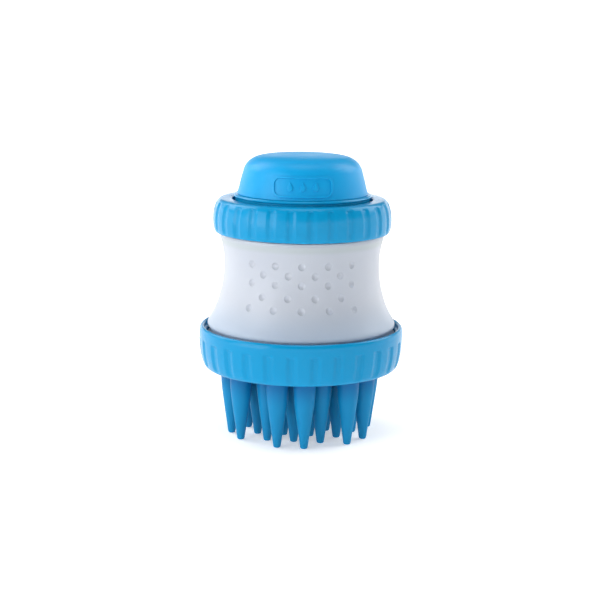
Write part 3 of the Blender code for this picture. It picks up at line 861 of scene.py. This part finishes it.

# %% [markdown]
# ## The frosted bottle
#
# The reservoir is natural polypropylene with a sandblasted outside: it lets light through but
# no picture. Rough transmission does this, and the blue plate and tower inside show through it.
# On top of that the lower half gets a painted bluish tint, painted light from the blue parts
# seen through the wall, and a painted grey band of shade lies under the upper collar, where
# the thread and lid inside darken the wall.

# %% Finish the bottle
bottle_frost, tree, shader, colour = start_finish(
    "bottle_frost", ((0.62, 0.66, 0.74), (0.66, 0.70, 0.77)), (0.34, 0.42), 1800.0, 0.02,
    Transmission_Weight=0.4, IOR=1.45, Specular_IOR_Level=0.4, Subsurface_Weight=0.3,
    Subsurface_Radius=(1.0, 1.0, 1.0), Subsurface_Scale=0.003)
# Painted light: the lower half is tinted blue, standing for the blue plate and tower seen through
# the wall.
painted_show_through_mask = use_group(tree, rise_group, Low=60 * MM, High=44 * MM).outputs["Mask"]
# Painted shade: a grey band under the upper collar, where the thread and lid inside darken the
# wall.
shade_band_top = use_group(tree, rise_group, Low=78.5 * MM, High=80.5 * MM).outputs["Mask"]
shade_band_low = use_group(tree, rise_group, Low=83 * MM, High=81 * MM).outputs["Mask"]
painted_shade_band = add_node(tree, "ShaderNodeMath", operation="MULTIPLY")
tree.links.new(shade_band_top, painted_shade_band.inputs[0])
tree.links.new(shade_band_low, painted_shade_band.inputs[1])
colour = mix_colours(tree, painted_show_through_mask, colour, colour_node(tree, (0.54, 0.64, 0.77)))
tree.links.new(mix_colours(tree, painted_shade_band.outputs[0], colour,
                           colour_node(tree, (0.58, 0.64, 0.67))), shader.inputs["Base Color"])
give(bottle_frost, bottle)

# %% [markdown]
# ## The pieces inside
#
# What sits inside keeps the working model's shape. Lid, rod and valve are uncoloured moulded
# plastic, the seals are milky rubber, and the springs are drawn stainless wire, whose skin is
# a little uneven in shade and shine.

# %% Finish the inner pieces
natural_moulding, _, _, _ = start_finish(
    "natural_moulding", ((0.74, 0.74, 0.70), (0.82, 0.82, 0.79)), (0.36, 0.46), 1500.0, 0.015)
milky_rubber, _, _, _ = start_finish(
    "milky_rubber", ((0.62, 0.65, 0.65), (0.72, 0.74, 0.74)), (0.45, 0.58), 2200.0, 0.02,
    Subsurface_Weight=0.2, Subsurface_Scale=0.002)
spring_steel, _, _, _ = start_finish(
    "spring_steel", ((0.50, 0.50, 0.51), (0.62, 0.62, 0.63)), (0.18, 0.32), 9000.0, 0.006,
    Metallic=1.0)
give(natural_moulding, *[nodes[name] for name in (
    "push_rod", "lid_cup", "seal_retainer", "valve_poppet", "valve_cage")])
give(milky_rubber, *[nodes[name] for name in (
    "lid_gasket", "stem_seal", "vent_valve", "lower_gasket", "valve_seal")])
give(spring_steel, *[nodes[name] for name in ("return_spring", "valve_spring", "rod_clip")])

# %% [markdown]
# ## The studio
#
# The scrubber stands on a sheet of opal acrylic that is lit from below, as product
# photographers use it, so the floor stays white to the horizon and throws only a faint shadow.
# It turns up at its rim, which hides the end of the sheet from every side. The light from
# below is weak under the object and strong far away. Four softboxes light it: a large one on
# the left in front, two behind it on the left and right, which give the dome's shoulders their
# highlights, and one overhead. The world is dim, so the blue stays deep in between.

# %% Lay the floor
FLOOR_RADIUS = 6.0
FLOOR_EDGE = 1.4
deselect_all()
bpy.ops.mesh.primitive_circle_add(vertices=96, radius=FLOOR_RADIUS, fill_type="NGON",
                                  location=(0, 0, -0.05 * MM))
floor = bpy.context.active_object
floor.name = "floor"
bpy.ops.object.transform_apply(location=True, rotation=False, scale=False)
bpy.ops.object.mode_set(mode="EDIT")
bpy.ops.mesh.select_all(action="SELECT")
bpy.ops.mesh.region_to_loop()
bpy.ops.mesh.extrude_region_move(TRANSFORM_OT_translate={"value": (0, 0, FLOOR_EDGE)})
bpy.ops.object.mode_set(mode="OBJECT")
floor_sheet, tree, shader, _ = start_finish(
    "floor_sheet", ((0.84, 0.84, 0.84), (0.86, 0.86, 0.86)), (0.7, 0.8), 400.0, 0.01,
    Specular_IOR_Level=0.1, Emission_Strength=1.0)
reach = add_node(tree, "ShaderNodeVectorMath", operation="LENGTH")
tree.links.new(add_node(tree, "ShaderNodeTexCoord").outputs["Object"], reach.inputs[0])
far_mask = map_range(tree, reach.outputs["Value"], 0.1, 1.5, 0.0, 1.0)
tree.links.new(mix_colours(tree, far_mask, colour_node(tree, (0.42, 0.42, 0.42)),
                           colour_node(tree, (0.96, 0.96, 0.96))),
               shader.inputs["Emission Color"])
give(floor_sheet, floor)

# %% Set the world and the lights
world = bpy.data.worlds.new("studio")
world.use_nodes = True
bpy.context.scene.world = world
WORLD_STRENGTH = 0.22
background = world.node_tree.nodes["Background"]
background.inputs["Color"].default_value = (1, 1, 1, 1)
background.inputs["Strength"].default_value = WORLD_STRENGTH


def softbox(name, place_mm, size_mm, watts):
    """A square area light that faces the middle of the object."""
    light = bpy.data.lights.new(name, "AREA")
    light.shape = "SQUARE"
    light.size = size_mm * MM
    light.energy = watts
    lamp = bpy.data.objects.new(name, light)
    lamp.location = Vector(place_mm) * MM
    lamp.rotation_mode = "QUATERNION"
    lamp.rotation_quaternion = (Vector((0, 0, 60 * MM)) - lamp.location).to_track_quat("-Z", "Y")
    bpy.context.scene.collection.objects.link(lamp)
    print(name, watts, "W")


softbox("key_softbox", (-950, -620, 420), 850, 7.5)
softbox("left_edge_softbox", (-900, 480, 860), 850, 9.0)
softbox("right_edge_softbox", (920, 460, 840), 850, 9.0)
softbox("top_softbox", (0, -100, 1300), 800, 5.0)
bpy.context.scene.view_settings.view_transform = "Standard"
